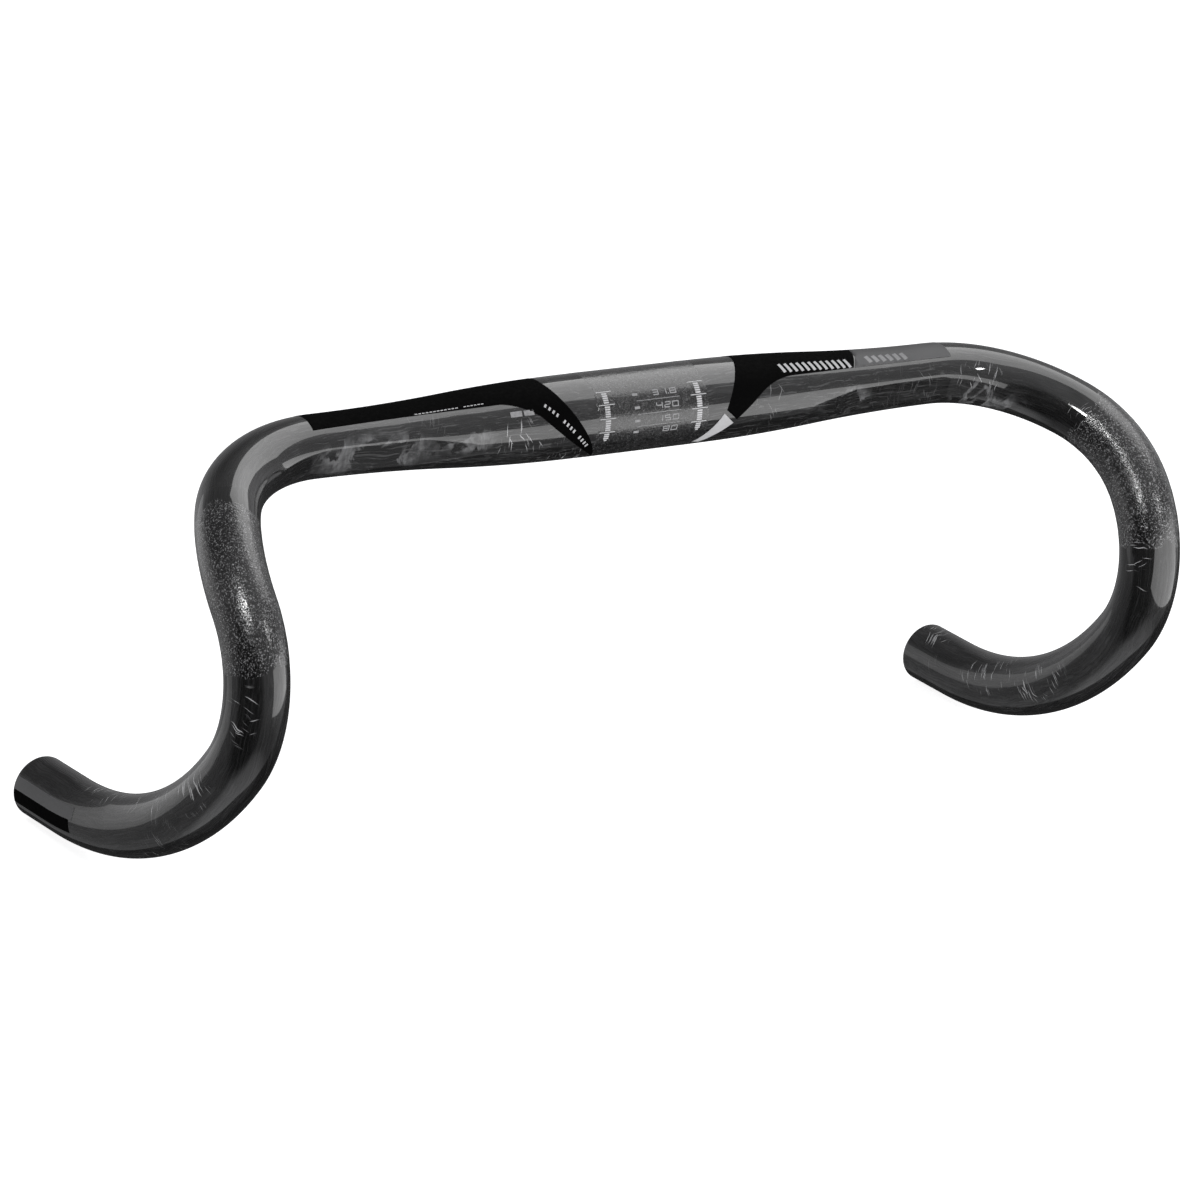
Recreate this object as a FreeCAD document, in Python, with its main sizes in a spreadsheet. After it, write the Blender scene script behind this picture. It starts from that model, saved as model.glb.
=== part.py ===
import FreeCAD, Part
import math
import os
import Sketcher

# Drop handlebar of moulded carbon.  Frame: +Z up, the rider looks along -Y, so +X is the
# rider's left.  The origin is the centre of the stem clamp zone.  Everything is in mm.
# An angle "round the tops" is counted from the top of the tube towards its front (-Y) side.

os.makedirs("parts", exist_ok=True)
doc = FreeCAD.newDocument("drop_handlebar")
V = FreeCAD.Vector
CLOSE = 1e-6

DIMS = [
    ("clamp_diameter", 31.8),     # over the grip coating, the size a stem clamps
    ("clamp_half", 27.0),         # half the cylindrical clamp zone
    ("tops_half", 141.8),         # half the straight tops, which taper to the round tube
    ("tube_diameter", 23.8),      # over the grip coating, the size a lever clamps
    ("layer", 0.1),               # thickness of a printed or sprayed layer
    ("wall", 2.2),
    ("clamp_wall", 3.0),
    ("shoulder_radius", 62.0),    # bends: centreline radius, angle, and roll from the last bend
    ("shoulder_angle", 58.5),
    ("shoulder_roll", 14.0),
    ("ramp_radius", 59.0),
    ("ramp_angle", 41.0),
    ("ramp_roll", 43.5),
    ("hook_radius", 47.0),
    ("hook_angle", 78.5),
    ("hook_roll", 55.5),
    ("grip_radius", 124.5),
    ("grip_angle", 53.5),
    ("end_length", 21.5),         # straight end of each drop
    ("end_round", 0.6),
    ("lap_angle", 18.5),          # 20 mm of lap joint, as an angle of the shoulder bend
    ("bond_gap", 0.1),
    ("cut_reach", 20.0),          # half size of the cutters for the cable flat
    ("flat_depth", 1.2),          # cable flat along the lower front of the tops
    ("flat_direction", 97.0),
    ("flat_inner", 78.0),
    ("flat_full", 100.0),
    ("flat_runout", 1.9),         # shift that brings the flat out of the shoulder
    ("coat_half", 26.0),          # gritty clamp zone
    ("lever_coat_from", 5.25),    # angle into the ramp bend
    ("lever_coat_to", 29.0),      # angle into the hook bend
    ("print_back", 60.0),         # how far the black and grey prints reach over the back
    ("print_end", 147.5),
    ("print_reach", 25.0),        # size of the cutters that shape the prints
    ("block_floor", 11.0),        # small cutters stand between two radii of the tops
    ("block_height", 6.0),
    ("scale_offset", 21.2),       # rotation scales: place, top angle, angle from rung to rung
    ("scale_top", 34.0),
    ("scale_step", 3.15),
    ("scale_width", 2.3),
    ("rung", 0.62),
    ("tick_width", 7.2),
    ("tick", 0.31),
    ("label_right", 10.0),        # size label: right edge, and sizes of its block numerals
    ("digit_pitch", 3.7),
    ("digit_width", 3.0),
    ("digit_height", 2.3),
    ("stroke", 0.42),
    ("stroke_gap", 0.05),
    ("point_room", 0.8),
    ("stripe_length", 40.0),      # stripes on the outside of each drop's end
]

sheet = doc.addObject("Spreadsheet::Sheet", "dims")
for row, (alias, number) in enumerate(DIMS, start=1):
    sheet.set("A%d" % row, alias)
    sheet.set("B%d" % row, str(number))
    sheet.setAlias("B%d" % row, alias)
doc.recompute()

CLAMP_SHELL = "(dims.clamp_diameter / 2 - dims.layer)"
TUBE_SHELL = "(dims.tube_diameter / 2 - dims.layer)"
CLAMP_BORE = "(dims.clamp_diameter / 2 - dims.layer - dims.clamp_wall)"
TUBE_BORE = "(dims.tube_diameter / 2 - dims.layer - dims.wall)"
CLAMP_OUT = "(dims.clamp_diameter / 2)"
TUBE_OUT = "(dims.tube_diameter / 2)"
SPIGOT = "(%s + (dims.wall - dims.bond_gap) / 2)" % TUBE_BORE
SOCKET = "(%s + dims.bond_gap)" % SPIGOT


def value(expression):
    """Number that an expression on the sheet gives."""
    return float(sheet.evalExpression(str(expression)))


# ---------------------------------------------------------------- frames of the bends

class Frame:
    """A place on the centreline: point, tangent, and the direction to the bend's centre."""

    def __init__(self, point, tangent, inward):
        self.point = point
        self.tangent = tangent
        self.inward = inward

    def side(self):
        return self.tangent.cross(self.inward)

    def rolled(self, degrees):
        a = math.radians(degrees)
        inward = self.inward * math.cos(a) + self.side() * math.sin(a)
        return Frame(self.point, self.tangent, inward)

    def bent(self, radius, degrees):
        a = math.radians(degrees)
        centre = self.point + self.inward * radius
        tangent = self.tangent * math.cos(a) + self.inward * math.sin(a)
        inward = self.inward * math.cos(a) - self.tangent * math.sin(a)
        return Frame(centre - inward * radius, tangent, inward)

    def placement(self, radius=0.0):
        """Local X points inward, Z along the tube, origin at the bend's centre."""
        turn = FreeCAD.Rotation(self.inward, self.side(), self.tangent, "XYZ")
        return FreeCAD.Placement(self.point + self.inward * radius, turn)


class Bend:
    def __init__(self, name, start):
        self.name = name
        self.radius = value("dims.%s_radius" % name)
        self.angle = value("dims.%s_angle" % name)
        self.start = start
        self.end = start.bent(self.radius, self.angle)

    def at(self, degrees):
        return self.start.bent(self.radius, degrees)


tops_end = Frame(V(value("dims.tops_half"), 0, 0), V(1, 0, 0), V(0, -1, 0))
shoulder = Bend("shoulder", tops_end.rolled(value("dims.shoulder_roll")))
ramp = Bend("ramp", shoulder.end.rolled(value("dims.ramp_roll")))
hook = Bend("hook", ramp.end.rolled(value("dims.hook_roll")))
grip = Bend("grip", hook.end)


# ---------------------------------------------------------------- sketch helpers

def plane(body, role):
    return next(f for f in body.Origin.OriginFeatures if f.Role == role)


def new_body(name, placement=None):
    body = doc.addObject("PartDesign::Body", name)
    if placement:
        body.Placement = placement
    return body


def new_sketch(body, name, role="XY_Plane", offset=None):
    sketch = body.newObject("Sketcher::SketchObject", name)
    sketch.AttachmentSupport = [(plane(body, role), "")]
    sketch.MapMode = "FlatFace"
    if offset:
        sketch.AttachmentOffset = offset
    return sketch


def bind(sketch, constraint, expression):
    """Add a dimension that follows the sheet."""
    index = sketch.addConstraint(constraint)
    name = "d%d" % index
    sketch.renameConstraint(index, name)
    sketch.setExpression("Constraints." + name, str(expression))


def circle(sketch, x_expression, radius_expression):
    """Circle centred on the sketch's X axis."""
    x = value(x_expression)
    number = sketch.addGeometry(Part.Circle(V(x, 0, 0), V(0, 0, 1), value(radius_expression)))
    sketch.addConstraint(Sketcher.Constraint("PointOnObject", number, 3, -1))
    if x:
        bind(sketch, Sketcher.Constraint("DistanceX", -1, 1, number, 3, x), x_expression)
    else:
        sketch.addConstraint(Sketcher.Constraint("PointOnObject", number, 3, -2))
    bind(sketch, Sketcher.Constraint("Radius", number, value(radius_expression)), radius_expression)


def outline(sketch, corners):
    """Closed outline.  A corner is (x, y), reached by a line, or (x, y, via), reached by an
    arc through via.  Coordinates are numbers or expressions, which the sheet then drives."""
    points = [V(value(c[0]), value(c[1]), 0) for c in corners]
    count = len(corners)
    ends = []
    for i, corner in enumerate(corners):
        if len(corner) == 3:
            via = V(value(corner[2][0]), value(corner[2][1]), 0)
            sketch.addGeometry(Part.Arc(points[i - 1], via, points[i]))
        else:
            sketch.addGeometry(Part.LineSegment(points[i - 1], points[i]))
        reversed_arc = sketch.getPoint(i, 2).distanceToPoint(points[i]) > CLOSE
        ends.append((2, 1) if reversed_arc else (1, 2))
    for i, corner in enumerate(corners):
        after = (i + 1) % count
        joint = Sketcher.Constraint("Coincident", i, ends[i][1], after, ends[after][0])
        sketch.addConstraint(joint)
        for axis, kind, line in ((0, "DistanceX", -2), (1, "DistanceY", -1)):
            amount = value(corner[axis])
            if abs(amount) < CLOSE:
                on_axis = Sketcher.Constraint("PointOnObject", i, ends[i][1], line)
                sketch.addConstraint(on_axis)
            else:
                distance = Sketcher.Constraint(kind, -1, 1, i, ends[i][1], amount)
                bind(sketch, distance, str(corner[axis]))


def revolve(body, sketch, axis, angle_expression, kind="Revolution"):
    feature = body.newObject("PartDesign::" + kind, body.Name + "_turn")
    feature.Profile = sketch
    feature.ReferenceAxis = (sketch, [axis])
    feature.setExpression("Angle", str(angle_expression))
    body.Tip = feature
    return feature


def pad(body, sketch, length_expression, midplane=False):
    feature = body.newObject("PartDesign::Pad", body.Name + "_pad")
    feature.Profile = sketch
    feature.Midplane = midplane
    feature.setExpression("Length", str(length_expression))
    body.Tip = feature
    return feature


# ---------------------------------------------------------------- tube pieces

def ring(sketch, centre, outer, inner):
    circle(sketch, centre, outer)
    circle(sketch, centre, inner)


def bent_tube(name, bend, outer, inner, start="0", sweep=None):
    """Tube along a bend, from an angle into it and over a sweep, both expressions."""
    sweep = sweep or "dims.%s_angle" % bend.name
    body = new_body(name, bend.at(value(start)).placement(bend.radius))
    sketch = new_sketch(body, name + "_section")
    ring(sketch, "-dims.%s_radius" % bend.name, outer, inner)
    revolve(body, sketch, "V_Axis", sweep)
    return body


def sector(sketch, x, outer, inner, low, high):
    """Part of a ring, between two angles from the sketch's X axis."""
    def polar(radius, degrees):
        across = "%s + %s * cos(%s * 1deg)" % (x, radius, degrees)
        along = "%s * sin(%s * 1deg)" % (radius, degrees)
        return (across, along)
    middle = (low + high) / 2
    outline(sketch, [
        polar(outer, low),
        polar(outer, high) + (polar(outer, middle),),
        polar(inner, high),
        polar(inner, low) + (polar(inner, middle),),
    ])


def mirrored(name, source):
    """The same piece on the rider's right side."""
    twin = doc.addObject("Part::Mirroring", name)
    twin.Source = source
    twin.Base = V(0, 0, 0)
    twin.Normal = V(1, 0, 0)
    return twin


def fused(name, pieces):
    whole = doc.addObject("Part::MultiFuse", name)
    whole.Shapes = pieces
    return whole


# ---------------------------------------------------------------- profile of the tops

HALF_TAPER = "(dims.clamp_half + dims.tops_half) / 2"
QUARTER_TAPER = "(3 * dims.clamp_half + dims.tops_half) / 4"
THREE_QUARTER_TAPER = "(dims.clamp_half + 3 * dims.tops_half) / 4"


def taper_line(clamp, tube):
    """Clamp cylinder, an S of two equal arcs, and the round tube, from the middle outwards."""
    return [
        ("dims.clamp_half", clamp),
        (HALF_TAPER, "(%s + %s) / 2" % (clamp, tube),
         (QUARTER_TAPER, "(7 * %s + %s) / 8" % (clamp, tube))),
        ("dims.tops_half", tube, (THREE_QUARTER_TAPER, "(%s + 7 * %s) / 8" % (clamp, tube))),
    ]


def taper_line_back(clamp, tube):
    """The same line, from the round tube back to the clamp cylinder."""
    return [
        ("dims.tops_half", tube),
        (HALF_TAPER, "(%s + %s) / 2" % (clamp, tube),
         (THREE_QUARTER_TAPER, "(%s + 7 * %s) / 8" % (clamp, tube))),
        ("dims.clamp_half", clamp, (QUARTER_TAPER, "(7 * %s + %s) / 8" % (clamp, tube))),
    ]


def outer_taper(x):
    """Radius of the carbon at x, between the middle of the taper and its end."""
    fall = "(%s - %s)" % (CLAMP_SHELL, TUBE_SHELL)
    share = "((dims.tops_half - %s) / (dims.tops_half - dims.clamp_half))" % x
    return "(%s + 2 * %s * %s^2)" % (TUBE_SHELL, fall, share)


def inner_taper(x):
    """The same, between the clamp cylinder and the middle of the taper."""
    fall = "(%s - %s)" % (CLAMP_SHELL, TUBE_SHELL)
    share = "((%s - dims.clamp_half) / (dims.tops_half - dims.clamp_half))" % x
    return "(%s - 2 * %s * %s^2)" % (CLAMP_SHELL, fall, share)


def tops_body(name, clamp_out, tube_out, clamp_in, tube_in):
    """Half of the tops turned about X.  The caller adds cuts and mirrors it."""
    body = new_body(name)
    sketch = new_sketch(body, name + "_profile")
    corners = [("0", clamp_in), ("0", clamp_out)]
    corners += taper_line(clamp_out, tube_out)
    corners += taper_line_back(clamp_in, tube_in)
    outline(sketch, corners)
    revolve(body, sketch, "H_Axis", 360)
    return body


def mirror_tip(body, features):
    """Mirror features of a body across its middle plane."""
    twin = body.newObject("PartDesign::Mirrored", body.Name + "_mirror")
    twin.Originals = features
    twin.MirrorPlane = (plane(body, "YZ_Plane"), [""])
    body.Tip = twin


def round_tops(direction):
    """Attachment that turns a sketch to face outwards at an angle round the tops."""
    return FreeCAD.Placement(V(0, 0, 0), FreeCAD.Rotation(V(1, 0, 0), direction))


# ---------------------------------------------------------------- carbon mouldings

def turned(out, aside, degrees):
    """Expressions for a point at (out, aside) turned about the origin."""
    across = "%s * cos(%s * 1deg) - %s * sin(%s * 1deg)" % (out, degrees, aside, degrees)
    along = "%s * sin(%s * 1deg) + %s * cos(%s * 1deg)" % (out, degrees, aside, degrees)
    return across, along


def centre_moulding():
    tops = tops_body("tops_tube", CLAMP_SHELL, TUBE_SHELL, CLAMP_BORE, TUBE_BORE)
    whole_tops = tops.Tip
    across = new_sketch(tops, "tops_flat", "XY_Plane",
                        round_tops(value("dims.flat_direction") + 90))
    middle = "((dims.flat_full + dims.tops_half) / 2)"
    outline(across, [
        ("dims.flat_inner", "dims.cut_reach"),
        ("dims.flat_inner", inner_taper("dims.flat_inner")),
        ("dims.flat_full", outer_taper("dims.flat_full") + " - dims.flat_depth"),
        ("dims.tops_half", TUBE_SHELL + " - dims.flat_depth",
         (middle, outer_taper(middle) + " - dims.flat_depth")),
        ("dims.tops_half + 1", TUBE_SHELL + " - dims.flat_depth"),
        ("dims.tops_half + 1", "dims.cut_reach"),
    ])
    doc.recompute()
    flat = tops.newObject("PartDesign::Pocket", "tops_flat_cut")
    flat.Profile = across
    flat.Midplane = True
    flat.setExpression("Length", "2 * dims.cut_reach")
    tops.Tip = flat
    doc.recompute()
    mirror_tip(tops, [whole_tops, flat])

    plain = "dims.shoulder_angle - dims.lap_angle"
    bend = bent_tube("shoulder_tube", shoulder, TUBE_SHELL, TUBE_BORE, "0", plain)
    doc.recompute()
    runout = FreeCAD.Placement(V(0, 0, -value("dims.flat_runout")), FreeCAD.Rotation())
    edge = new_sketch(bend, "shoulder_flat", "XY_Plane", runout)
    turn = "(dims.flat_direction - 90 - dims.shoulder_roll)"
    near = "(%s - dims.flat_depth)" % TUBE_SHELL
    far = "(%s + dims.cut_reach / 4)" % near
    left = "(0 - dims.cut_reach / 2)"
    right = "(dims.cut_reach / 2)"
    corners = []
    for out, aside in ((near, left), (far, left), (far, right), (near, right)):
        across, along = turned(out, aside, turn)
        corners.append((across + " - dims.shoulder_radius", along))
    outline(edge, corners)
    revolve(bend, edge, "V_Axis", "dims.shoulder_angle", "Groove")
    doc.recompute()

    socket = bent_tube("shoulder_socket", shoulder, TUBE_SHELL, SOCKET, plain, "dims.lap_angle")
    side = [bend, socket]
    twins = [mirrored(piece.Name + "_right", piece) for piece in side]
    return fused("centre_section", [tops] + side + twins)


def drop_moulding():
    lap_start = "dims.shoulder_angle - dims.lap_angle"
    spigot = bent_tube("drop_spigot", shoulder, SPIGOT, TUBE_BORE, lap_start, "dims.lap_angle")
    bends = [bent_tube(b.name + "_tube", b, TUBE_SHELL, TUBE_BORE) for b in (ramp, hook, grip)]
    end = new_body("end_tube", grip.end.placement())
    section = new_sketch(end, "end_section")
    ring(section, "0", TUBE_SHELL, TUBE_BORE)
    straight = pad(end, section, "dims.end_length")
    doc.recompute()
    mouth = V(0, 0, value("dims.end_length"))
    rim = [number for number, edge in enumerate(straight.Shape.Edges, start=1)
           if edge.CenterOfMass.isEqual(mouth, CLOSE)
           and edge.Curve.Radius > value(SPIGOT)]
    rounded = end.newObject("PartDesign::Fillet", "end_rounding")
    rounded.Base = (straight, ["Edge%d" % rim[0]])
    rounded.setExpression("Radius", "dims.end_round")
    end.Tip = rounded
    return fused("left_drop", [spigot] + bends + [end])


# ---------------------------------------------------------------- sprayed and printed layers

LAYER_SWEEP = "10"


def layer_blank():
    """The whole coloured layer over the tops and the first of each shoulder."""
    tops = tops_body("tops_layer", CLAMP_OUT, TUBE_OUT, CLAMP_SHELL, TUBE_SHELL)
    mirror_tip(tops, [tops.Tip])
    bend = bent_tube("shoulder_layer", shoulder, TUBE_OUT, TUBE_SHELL, "0", LAYER_SWEEP)
    twin = mirrored("shoulder_layer_right", bend)
    return fused("layer_blank", [tops, bend, twin])


def prism(name, direction, corners):
    """Cutter that looks outwards at an angle round the tops.  Its outline's x is along the
    bar and its y points back over the top of the tube."""
    body = new_body(name)
    sketch = new_sketch(body, name + "_outline", "XY_Plane", round_tops(direction))
    outline(sketch, corners)
    pad(body, sketch, "dims.print_reach")
    return body


def wedge(name, low, high, start, end):
    """Cutter between two angles round the tops and two places along the bar."""
    body = new_body(name)
    along = FreeCAD.Placement(V(0, 0, value(start)), FreeCAD.Rotation())
    sketch = new_sketch(body, name + "_outline", "YZ_Plane", along)
    corners = [("0", "0")]
    for angle in (low, (low + high) / 2, high):
        corners.append(turned("0", "dims.print_reach", angle))
    outline(sketch, corners)
    pad(body, sketch, "%s - %s" % (end, start))
    return body


def block(name, x, angle, width, height, slant=0.0):
    """Small cutter that stands on the tops: width along the bar, height round it, both
    numbers or expressions.  A slant turns it about the direction in which it stands."""
    box = doc.addObject("Part::Box", name)
    box.setExpression("Length", str(width))
    box.setExpression("Width", str(height))
    box.setExpression("Height", "dims.block_height")
    facing = FreeCAD.Rotation(V(1, 0, 0), angle)
    turn = facing * FreeCAD.Rotation(V(0, 0, 1), slant)
    corner = turn.multVec(V(-value(width) / 2, -value(height) / 2, 0))
    out = facing.multVec(V(0, 0, value("dims.block_floor")))
    box.Placement = FreeCAD.Placement(V(x, 0, 0) + out + corner, turn)
    return box


def group(name, pieces):
    whole = doc.addObject("Part::Compound", name)
    whole.Links = pieces
    return whole


def cut(name, base, tool):
    rest = doc.addObject("Part::Cut", name)
    rest.Base = base
    rest.Tool = tool
    return rest


def common(name, tool):
    """The part of the coloured layer inside a cutter."""
    piece = doc.addObject("Part::Common", name)
    piece.Base = blank
    piece.Tool = tool
    return piece


def row_of_blocks(name, count, start, end, angle, height, slant, fill):
    """Slanted bars side by side between two places, each filling part of its pitch."""
    pitch = (end - start) / count
    width = pitch * fill
    return [block("%s_%d" % (name, i), start + pitch * (i + 0.5), angle, width, height, slant)
            for i in range(count)]


blank = layer_blank()
BACK = value("dims.print_back")
END = value("dims.print_end")


def right_black_print():
    front = prism("right_black_front", 75, [
        (-END, 15.1),
        (-END, 8.0),
        (-66.7, 10.0),
        (-50.7, 4.3, (-58.0, 8.0)),
        (-22.5, -14.3, (-36.0, -6.9)),
        (-44.6, 15.1, (-33.4, 0.2)),
    ])
    back = wedge("right_black_back", -BACK, 0, -END, -44.6)
    return fused("right_black_cutter", [front, back])


def left_black_print():
    front = prism("left_black_front", 60, [
        (46.5, 15.6),
        (34.1, -5.3, (41.0, 8.0)),
        (39.5, -9.1),
        (51.5, 0.0),
        (68.0, 5.0, (58.5, 3.4)),
        (98.6, 5.2),
        (103.7, 12.3),
        (104.5, 15.6),
    ])
    back = wedge("left_black_back", -BACK, -18, 46.5, 104.5)
    return fused("left_black_cutter", [front, back])


def left_grey_print():
    front = prism("left_grey_front", 60, [
        (99.2, 5.2),
        (END, 5.2),
        (END, 15.6),
        (105.1, 15.6),
        (104.3, 12.3),
    ])
    back = wedge("left_grey_back", -BACK, -18, 105.1, END)
    return fused("left_grey_cutter", [front, back])


def accent_print():
    return prism("accent_cutter", 100, [
        (33.0, 4.4),
        (38.2, 0.05),
        (26.8, -9.35),
        (23.2, -8.66),
    ])


SCALE_RUNGS = 22
RUNGS_PER_TICK = 6


def scale(name, x):
    """Rotation scale: a ladder of short rungs with a longer line at each sixth."""
    pieces = []
    for i in range(SCALE_RUNGS + 1):
        kind = ("dims.scale_width", "dims.rung")
        if i % RUNGS_PER_TICK == 0:
            kind = ("dims.tick_width", "dims.tick")
        if i == SCALE_RUNGS:
            kind = ("dims.scale_width / 2", "dims.rung")
        angle = value("dims.scale_top + dims.scale_step * %d" % i)
        pieces.append(block("%s_rung_%d" % (name, i), x, angle, *kind))
    return pieces


SEGMENTS = {"0": "abcdef", "1": "bc", "2": "abged", "3": "abgcd", "4": "fgbc",
            "5": "afgcd", "8": "abcdefg"}


def numeral(name, digit, x, angle):
    """Block numeral.  Its strokes are lettered a to g, clockwise from the top, g across."""
    side = value("(dims.digit_width - dims.stroke) / 2")
    level = value("(dims.digit_height - dims.stroke) / 2")
    middle = value("dims.digit_height / 4")
    bar = ("dims.digit_width - 2 * dims.stroke - 2 * dims.stroke_gap", "dims.stroke")
    post = ("dims.stroke", "dims.digit_height / 2 - dims.stroke_gap")
    strokes = {
        "a": (0, level, bar),
        "b": (side, middle, post),
        "c": (side, -middle, post),
        "d": (0, -level, bar),
        "e": (-side, -middle, post),
        "f": (-side, middle, post),
        "g": (0, 0, bar),
    }
    pieces = []
    for letter in SEGMENTS[digit]:
        along, up, size = strokes[letter]
        lift = math.degrees(up / value(CLAMP_OUT))
        pieces.append(block("%s_%s" % (name, letter), x + along, angle - lift, *size))
    return pieces


# clamp diameter in tenths of a millimetre, width, drop and reach, each with its angle
LABEL_ROWS = [("318", 43.0), ("420", 61.5), ("150", 79.5), ("80", 95.4)]
POINT_ROW = 0
POINT_LIFT = 3.4
MARK = {"x": -7.6, "width": 2.4, "height": 1.0}
LINE = {"x": 2.5, "width": 20.0, "height": 0.2}


def size_label():
    """Four rows of numerals, a mark at the start of each, and lines between them."""
    right = value("dims.label_right")
    pitch = value("dims.digit_pitch")
    pieces = []
    for row, (digits, angle) in enumerate(LABEL_ROWS):
        for place, digit in enumerate(reversed(digits)):
            x = right - pitch * place
            if row == POINT_ROW and place > 0:
                x -= value("dims.point_room")
            pieces += numeral("label_%d_%d" % (row, place), digit, x, angle)
        pieces.append(block("label_mark_%d" % row, MARK["x"], angle,
                            MARK["width"], MARK["height"]))
    for row in range(1, len(LABEL_ROWS)):
        between = (LABEL_ROWS[row - 1][1] + LABEL_ROWS[row][1]) / 2
        pieces.append(block("label_line_%d" % row, LINE["x"], between,
                            LINE["width"], LINE["height"]))
    point = right - value("(dims.digit_pitch + dims.point_room) / 2")
    point_angle = LABEL_ROWS[POINT_ROW][1] + POINT_LIFT
    pieces.append(block("label_point", point, point_angle, "dims.stroke", "dims.stroke"))
    return pieces


def clamp_zone():
    body = new_body("clamp_zone_cutter")
    sketch = new_sketch(body, "clamp_zone_section", "YZ_Plane")
    circle(sketch, "0", "dims.print_reach")
    pad(body, sketch, "2 * dims.coat_half", midplane=True)
    return body


DASH_PLACES = [0, 1, 2, 3, 5, 6, 7, 8, 10, 11, 12, 13]
DASH = {"x": -48.3, "angle": 44.0, "x_step": 1.46, "angle_step": 4.92,
        "width": 0.9, "height": 1.4, "slant": -42}
EDGE_ANGLE = 27.5
EDGE_HEIGHT = 0.4
EDGE_FILL = 0.72


def tail_marks():
    """Dashes down the tail of the right black print, and two fine rows along its edge."""
    pieces = []
    for i in DASH_PLACES:
        x = DASH["x"] + DASH["x_step"] * i
        angle = DASH["angle"] + DASH["angle_step"] * i
        pieces.append(block("tail_mark_%d" % i, x, angle,
                            DASH["width"], DASH["height"], DASH["slant"]))
    for name, count, start, end in (("long", 12, -103.5, -84.5), ("short", 6, -82.5, -73.5)):
        pieces += row_of_blocks("edge_" + name, count, start, end, EDGE_ANGLE,
                                EDGE_HEIGHT, 0, EDGE_FILL)
    return pieces


BAR_SLANT = 18
BADGE_ANGLE = 50.5
BADGE_HEIGHT = 2.1

right_black = right_black_print()
left_black = left_black_print()
left_grey = left_grey_print()
accent = accent_print()
right_scale = group("right_scale_cutter", scale("right_scale", -value("dims.scale_offset")))
left_scale = group("left_scale_cutter", scale("left_scale", value("dims.scale_offset")))
label = group("label_cutter", size_label())
tail = group("tail_cutter", tail_marks())
stripes = group("stripe_cutter",
                row_of_blocks("stripe", 12, 62.5, 98.0, 27.0, 4.2, BAR_SLANT, 0.5))
panel = group("panel_cutter",
              row_of_blocks("panel", 6, 106.0, 127.0, 21.5, 3.4, BAR_SLANT, 0.62))
badge = group("badge_cutter", [
    block("badge_outer", -61.6, BADGE_ANGLE, 5.0, BADGE_HEIGHT),
    block("badge_inner", -56.0, BADGE_ANGLE, 4.4, BADGE_HEIGHT),
])

prints = {
    "right_black_decal": cut("right_black_decal", common("right_black_whole", right_black), tail),
    "left_black_decal": cut("left_black_decal", common("left_black_whole", left_black), stripes),
    "left_grey_decal": cut("left_grey_decal", common("left_grey_whole", left_grey), panel),
    "left_silver_accent": common("left_silver_accent", accent),
    "right_rotation_scale": common("right_rotation_scale", right_scale),
    "left_rotation_scale": common("left_rotation_scale", left_scale),
    "size_label": common("size_label", label),
    "right_decal_marks": common("right_decal_marks", tail),
    "left_decal_stripes": common("left_decal_stripes", stripes),
    "left_panel_bars": common("left_panel_bars", panel),
    "right_front_badge": common("right_front_badge", badge),
}
inlays = group("clamp_inlays", [right_black, accent, right_scale, left_scale, label])
coat_ring = common("clamp_coat_ring", clamp_zone())
clamp_coat = cut("clamp_grip_coat", coat_ring, inlays)


def lever_coat():
    start = "dims.lever_coat_from"
    first = bent_tube("lever_coat_ramp", ramp, TUBE_OUT, TUBE_SHELL, start,
                      "dims.ramp_angle - dims.lever_coat_from")
    second = bent_tube("lever_coat_hook", hook, TUBE_OUT, TUBE_SHELL, "0", "dims.lever_coat_to")
    return fused("left_lever_grip_coat", [first, second])


def end_stripe(name, low, high, trim):
    """Stripe along the outside of a drop's end.  Angles are from the inside of the bend."""
    bend_part = "(dims.stripe_length - dims.end_length - %s)" % trim
    sweep = "(%s / dims.grip_radius * 180 / pi)" % bend_part
    start = value("dims.grip_angle - %s" % sweep)
    curved = new_body(name + "_curved", grip.at(start).placement(grip.radius))
    section = new_sketch(curved, name + "_curved_section")
    sector(section, "-dims.grip_radius", TUBE_OUT, TUBE_SHELL, low, high)
    revolve(curved, section, "V_Axis", sweep)
    straight = new_body(name + "_straight", grip.end.placement())
    flat_section = new_sketch(straight, name + "_straight_section")
    sector(flat_section, "0", TUBE_OUT, TUBE_SHELL, low, high)
    pad(straight, flat_section, "dims.end_length - dims.end_round")
    return fused(name, [curved, straight])


# ---------------------------------------------------------------- the pieces

centre_section = centre_moulding()
left_drop = drop_moulding()
left_bond = bent_tube("left_bond_line", shoulder, SOCKET, SPIGOT,
                      "dims.shoulder_angle - dims.lap_angle", "dims.lap_angle")
left_coat = lever_coat()
left_grey_stripe = end_stripe("left_end_grey_stripe", 61, 85, 0)
left_black_stripe = end_stripe("left_end_black_stripe", 85, 111, 2.5)

nodes = {
    "centre_section": centre_section,
    "left_drop": left_drop,
    "left_bond_line": left_bond,
    "clamp_grip_coat": clamp_coat,
    "left_lever_grip_coat": left_coat,
    "left_end_grey_stripe": left_grey_stripe,
    "left_end_black_stripe": left_black_stripe,
}
for name in [n for n in nodes if n.startswith("left_")]:
    twin = name.replace("left_", "right_")
    nodes[twin] = mirrored(twin, nodes[name])
nodes.update(prints)

doc.recompute()

faults = [o.Name for o in doc.Objects if "Invalid" in o.State or "Error" in o.State]
for name, piece in nodes.items():
    piece.Label = name
    if piece.Shape.isNull() or not piece.Shape.isValid() or not piece.Shape.Solids:
        faults.append(name)
if faults:
    raise SystemExit("failed objects: " + ", ".join(faults))

for name, piece in nodes.items():
    piece.Shape.exportStep("parts/%s.step" % name)
    print("%-24s %3d solids %10.2f mm3" % (name, len(piece.Shape.Solids), piece.Shape.Volume))
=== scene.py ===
import math

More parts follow.
